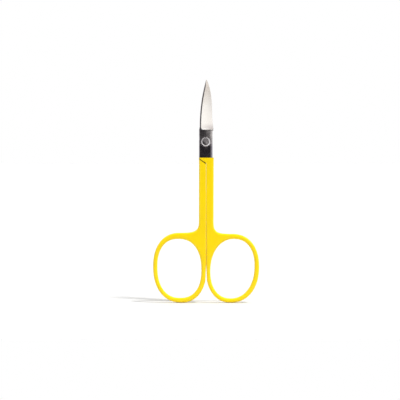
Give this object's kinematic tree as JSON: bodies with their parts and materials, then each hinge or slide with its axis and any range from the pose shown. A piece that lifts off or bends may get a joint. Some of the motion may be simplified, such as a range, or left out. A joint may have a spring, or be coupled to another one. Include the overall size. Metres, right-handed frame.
{
  "type": "thread scissors",
  "caption": "Small ring-handled thread scissors with slim curved blades, a slotted pivot screw and smooth coated handles, standing closed.",
  "frame": {"origin": "centre of the object's box in X and Y, at the bottom of the finger rings", "axes": "+Z runs from the finger rings to the blade tips, +X is to the right with the screw head seen in front, and the screw head faces -Y"},
  "size_m": [0.0428, 0.0044, 0.09],
  "materials": {
    "steel_front": "polished lap, satin ground bevel",
    "steel_back": "polished lap, satin ground bevel",
    "coating_front": "smooth yellow coating, soft gloss",
    "coating_back": "smooth yellow coating, soft gloss",
    "screw": "bright turned steel"
  },
  "bodies": {
    "back_half": {"back_half_steel": "steel_back", "back_handle_coating": "coating_back", "pivot_screw": "screw"},
    "front_half": {"front_half_steel": "steel_front", "front_handle_coating": "coating_front"}
  },
  "joints": [
    {"name": "scissor_pivot", "type": "hinge", "parent": "back_half", "child": "front_half", "pos_m": [-0.00015, 0.00063, 0.06505], "axis": [0, -1, 0], "range_deg": [0, 60]}
  ]
}
